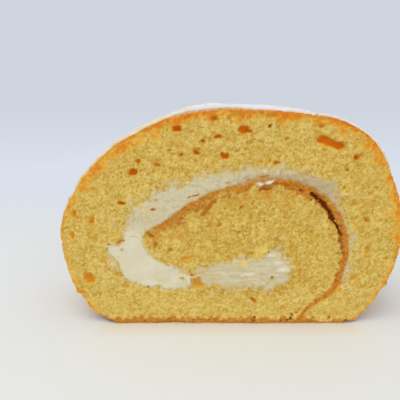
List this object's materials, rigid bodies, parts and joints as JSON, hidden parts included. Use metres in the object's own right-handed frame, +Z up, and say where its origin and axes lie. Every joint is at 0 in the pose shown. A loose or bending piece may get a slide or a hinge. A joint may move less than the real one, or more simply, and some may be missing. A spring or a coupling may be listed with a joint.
{
  "type": "swiss roll cake slice",
  "caption": "Thick slice of a rolled sponge cake with a band of whipped cream, standing on its flat underside.",
  "frame": {"origin": "under the middle of the slice, on the surface that it stands on", "axes": "+X across the slice, with the seam of the roll on the +X side of the front cut, +Y along the roll from the front cut to the back cut, +Z up"},
  "size_m": [0.1, 0.03, 0.065],
  "materials": {
    "sponge": "soft, open golden crumb with a thin browned skin and a dusting of white sugar on top",
    "cream": "soft whipped ivory cream, smooth in the thick places and grainy where it has soaked into the crumb"
  },
  "bodies": {
    "root": {"sponge": "sponge", "cream": "cream"}
  },
  "joints": []
}
